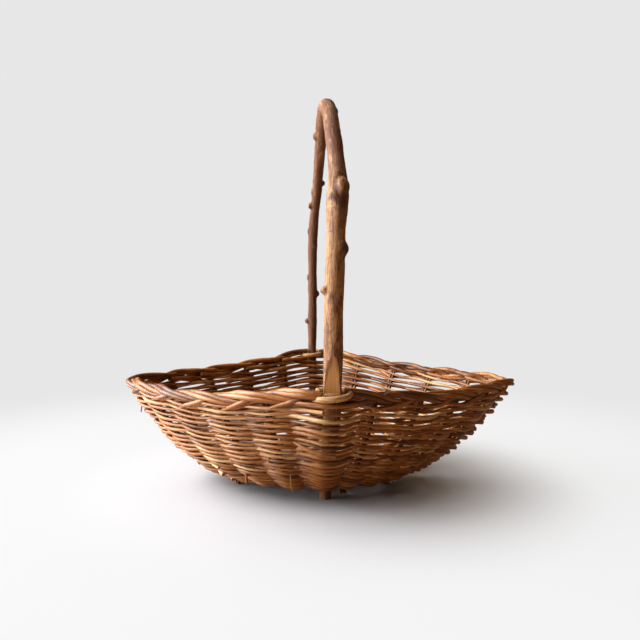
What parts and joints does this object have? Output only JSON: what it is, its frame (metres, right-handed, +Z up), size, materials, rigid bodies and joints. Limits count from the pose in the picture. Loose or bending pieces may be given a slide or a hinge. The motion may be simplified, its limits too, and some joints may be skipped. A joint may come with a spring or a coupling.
{
  "type": "willow gathering basket",
  "caption": "Oval gathering basket of woven willow rods with a twisted rod rim, a branch handle that arches across the middle and trimmed leg ends for feet.",
  "frame": {"origin": "on the table, under the middle of the basket's outline", "axes": "+X along the long way of the oval, +Y across it from the near leg of the handle to the far leg, +Z up"},
  "size_m": [0.4996, 0.428, 0.4767],
  "materials": {
    "branch_bark": "weathered bark, worn golden on the raised places",
    "rim_willow": "dry willow with a soft sheen",
    "woven_willow": "dry willow, matt to satin",
    "stake_willow": "dark dry willow, matt"
  },
  "bodies": {
    "root": {"base_cross_stick_1": "stake_willow", "base_cross_stick_2": "stake_willow", "base_cross_stick_3": "stake_willow", "base_cross_stick_4": "stake_willow", "base_cross_stick_5": "stake_willow", "base_long_stick_1": "stake_willow", "base_long_stick_2": "stake_willow", "base_long_stick_3": "stake_willow", "base_ring_1": "woven_willow", "base_ring_2": "woven_willow", "base_ring_3": "woven_willow", "base_ring_4": "woven_willow", "base_ring_5": "woven_willow", "branch_handle": "branch_bark", "far_leg_binding": "rim_willow", "near_leg_binding": "rim_willow", "rim_rod_left_1": "rim_willow", "rim_rod_left_2": "rim_willow", "rim_rod_left_3": "rim_willow", "rim_rod_right_1": "rim_willow", "rim_rod_right_2": "rim_willow", "rim_rod_right_3": "rim_willow", "side_stake_00": "stake_willow", "side_stake_01": "stake_willow", "side_stake_02": "stake_willow", "side_stake_03": "stake_willow", "side_stake_04": "stake_willow", "side_stake_06": "stake_willow", "side_stake_07": "stake_willow", "side_stake_08": "stake_willow", "side_stake_09": "stake_willow", "side_stake_10": "stake_willow", "side_stake_11": "stake_willow", "side_stake_12": "stake_willow", "side_stake_13": "stake_willow", "side_stake_14": "stake_willow", "side_stake_16": "stake_willow", "side_stake_17": "stake_willow", "side_stake_18": "stake_willow", "side_stake_19": "stake_willow", "weaving_row_01": "woven_willow", "weaving_row_02": "woven_willow", "weaving_row_03": "woven_willow", "weaving_row_04": "woven_willow", "weaving_row_05": "woven_willow", "weaving_row_06": "woven_willow", "weaving_row_07": "woven_willow", "weaving_row_08": "woven_willow", "weaving_row_09": "woven_willow", "weaving_row_10": "woven_willow", "weaving_row_11": "woven_willow", "weaving_row_12": "woven_willow", "weaving_row_13": "woven_willow", "weaving_row_14": "woven_willow", "weaving_row_15": "woven_willow", "weaving_row_16": "woven_willow", "weaving_row_17": "woven_willow", "weaving_row_18": "woven_willow", "weaving_row_19": "woven_willow", "weaving_row_20": "woven_willow"}
  },
  "joints": []
}
